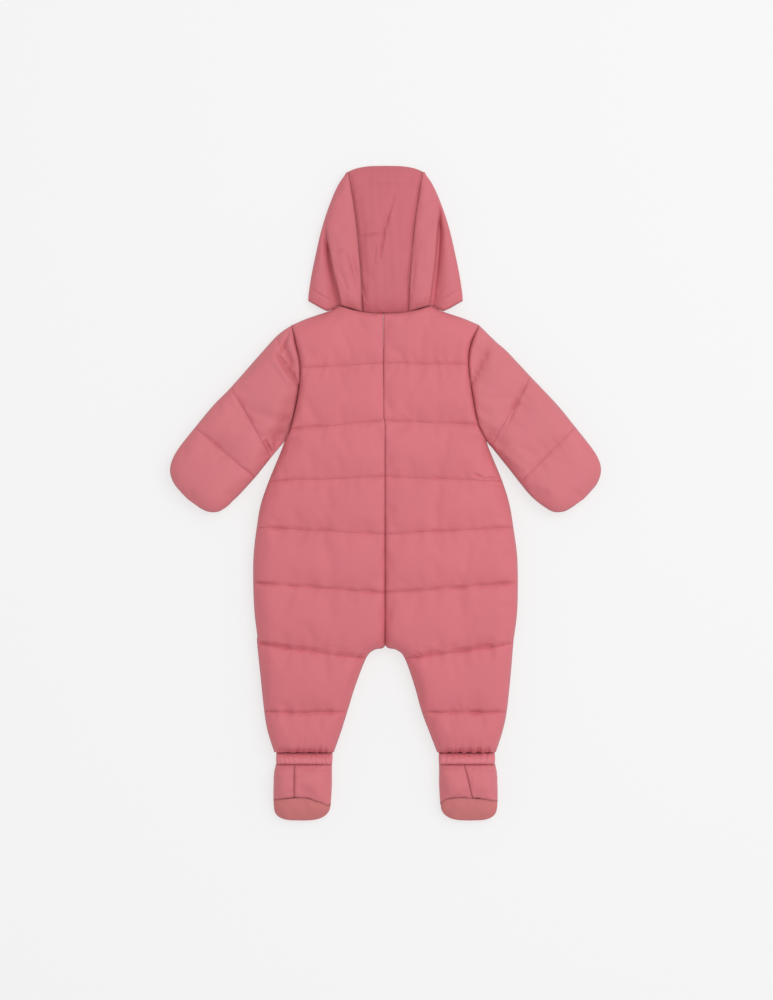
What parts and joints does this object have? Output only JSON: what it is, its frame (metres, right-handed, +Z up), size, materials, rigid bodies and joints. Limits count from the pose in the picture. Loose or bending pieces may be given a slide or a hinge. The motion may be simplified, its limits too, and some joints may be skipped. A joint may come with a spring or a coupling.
{
  "type": "baby snowsuit",
  "caption": "Quilted padded baby snowsuit with hood, closed mitts and booties, laid flat on its front and seen from the back.",
  "frame": {"origin": "middle of the suit's footprint, on the surface it lies on", "axes": "+Y from the booties to the crown of the hood, +Z up out of the surface, from the front of the suit to its back, +X to the wearer's right"},
  "size_m": [0.5394, 0.8199, 0.034],
  "materials": {
    "shell": "dusty rose woven polyester shell with a soft sheen, padded",
    "sleeve_shell": "the same shell cloth on the sleeves, a touch lighter where it faces the light",
    "hood_shell": "the same shell cloth on the unquilted hood",
    "gathered_band": "shell cloth gathered on elastic",
    "boot_upper": "padded shell cloth, smooth",
    "sole_fabric": "duller, matt sole cloth",
    "zip_tape_fabric": "woven zip tape, dyed to match",
    "zip_teeth": "moulded plastic teeth, dyed to match",
    "zip_metal": "zinc slider and pull tab, painted to match"
  },
  "bodies": {
    "suit": {"ankle_band_left": "gathered_band", "ankle_band_right": "gathered_band", "back_left": "shell", "back_right": "shell", "boot_quarter_inner_left": "boot_upper", "boot_quarter_inner_right": "boot_upper", "boot_quarter_outer_left": "boot_upper", "boot_quarter_outer_right": "boot_upper", "boot_sole_left": "sole_fabric", "boot_sole_right": "sole_fabric", "front_left": "shell", "front_right": "shell", "hood_centre": "hood_shell", "hood_side_left": "hood_shell", "hood_side_right": "hood_shell", "sleeve_back_left": "sleeve_shell", "sleeve_back_right": "sleeve_shell", "sleeve_front_left": "sleeve_shell", "sleeve_front_right": "sleeve_shell", "zip_chain": "zip_teeth", "zip_slider": "zip_metal", "zip_tape": "zip_tape_fabric"},
    "zip_pull": {"zip_pull": "zip_metal"}
  },
  "joints": [
    {"name": "zip_pull_swing", "type": "hinge", "parent": "suit", "child": "zip_pull", "pos_m": [0, 0.176, 0.0025], "axis": [1, 0, 0], "range_deg": [0, 170]}
  ]
}
